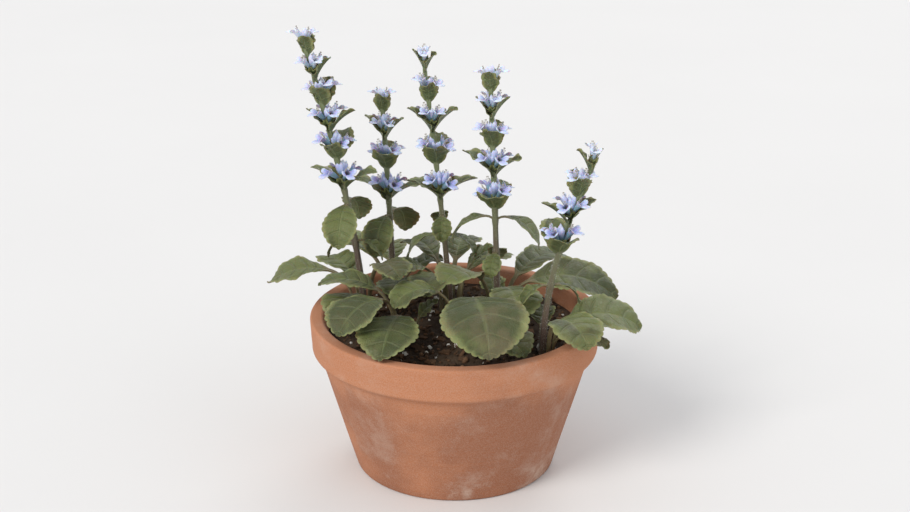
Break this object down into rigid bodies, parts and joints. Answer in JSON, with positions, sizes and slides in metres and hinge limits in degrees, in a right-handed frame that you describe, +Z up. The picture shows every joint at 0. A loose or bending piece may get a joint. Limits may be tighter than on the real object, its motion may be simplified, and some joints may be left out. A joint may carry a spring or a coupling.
{
  "type": "potted bugleweed",
  "caption": "Bugleweed in a plain clay pan: scalloped basal leaves round its crowns, and upright square-stemmed spikes with leafy bracts and whorls of pale blue two-lipped flowers.",
  "frame": {"origin": "middle of the flat underside of the pot, where it rests", "axes": "+Z up along the pot's axis, +Y away from the viewer of the picture, +X to the viewer's right"},
  "size_m": [0.2437, 0.2018, 0.2937],
  "materials": {
    "clay": "unglazed terracotta, matt and slightly dusty",
    "soil": "moist peat and bark potting mix",
    "leaf": "soft, slightly glossy olive-green leaf with paler scalloped margins",
    "spike": "mauve-brown stem, hairy olive bracts and pale lavender-blue petals"
  },
  "bodies": {
    "root": {"pot": "clay", "soil": "soil", "leaf_01": "leaf", "leaf_02": "leaf", "leaf_03": "leaf", "leaf_04": "leaf", "leaf_05": "leaf", "leaf_06": "leaf", "leaf_07": "leaf", "leaf_08": "leaf", "leaf_09": "leaf", "leaf_10": "leaf", "leaf_11": "leaf", "leaf_12": "leaf", "leaf_13": "leaf", "leaf_14": "leaf", "leaf_15": "leaf", "leaf_16": "leaf", "leaf_17": "leaf", "leaf_18": "leaf", "leaf_19": "leaf", "leaf_20": "leaf", "leaf_21": "leaf", "leaf_22": "leaf", "leaf_23": "leaf", "leaf_24": "leaf", "leaf_25": "leaf", "leaf_26": "leaf", "leaf_27": "leaf", "leaf_28": "leaf", "leaf_29": "leaf", "leaf_30": "leaf", "leaf_31": "leaf", "flower_spike_1": "spike", "flower_spike_2": "spike", "flower_spike_3": "spike", "flower_spike_4": "spike", "flower_spike_5": "spike"}
  },
  "joints": []
}
